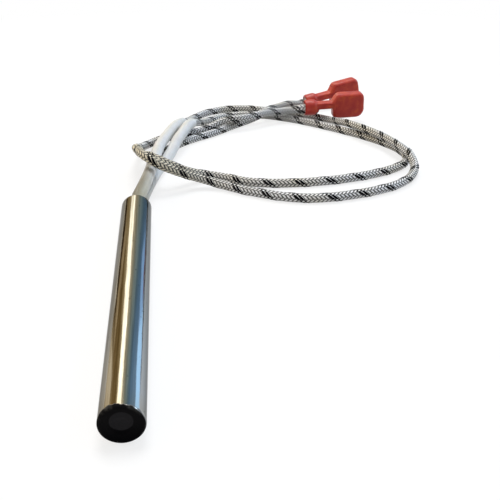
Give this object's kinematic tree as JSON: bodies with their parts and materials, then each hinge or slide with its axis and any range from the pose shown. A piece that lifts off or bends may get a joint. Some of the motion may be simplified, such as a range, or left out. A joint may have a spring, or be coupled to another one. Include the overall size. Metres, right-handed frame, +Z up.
{
  "type": "pellet stove igniter",
  "caption": "Electric cartridge heater rod with a closed rounded tip and braid-covered leads in white sleeves that end in insulated push-on connectors.",
  "frame": {"origin": "on the surface that the rod lies on, below the middle of the rod", "axes": "+Y along the rod from its closed tip to its lead end, +Z up"},
  "size_m": [0.1115, 0.2289, 0.0145],
  "materials": {
    "polished_steel": "polished lengthwise, faint drawing lines",
    "heat_darkened_steel": "darkened by heat, satin",
    "ceramic": "unglazed ceramic",
    "magnesia": "packed powder",
    "resistance_wire": "dull drawn wire",
    "nickel_wire": "drawn, satin",
    "traced_braid": "white glass braid with a dark double tracer",
    "white_sleeving": "coated glass sleeving, smooth satin",
    "red_nylon": "moulded, slightly translucent, satin",
    "tinned_brass": "tinned sheet"
  },
  "bodies": {
    "root": {"sheath_tube": "polished_steel", "end_disc": "heat_darkened_steel", "tip_insulator": "ceramic", "magnesia_fill": "magnesia", "winding_core": "ceramic", "heating_coil": "resistance_wire", "power_pin_1": "nickel_wire", "power_pin_2": "nickel_wire", "lead_splice_1": "nickel_wire", "lead_splice_2": "nickel_wire", "splice_insulator": "ceramic", "lead_end_bushing": "ceramic", "lead_1": "traced_braid", "lead_2": "traced_braid", "sleeve_1": "white_sleeving", "sleeve_2": "white_sleeving", "terminal_housing_1": "red_nylon", "terminal_housing_2": "red_nylon", "receptacle_1": "tinned_brass", "receptacle_2": "tinned_brass", "crimp_sleeve_1": "tinned_brass", "crimp_sleeve_2": "tinned_brass"}
  },
  "joints": []
}
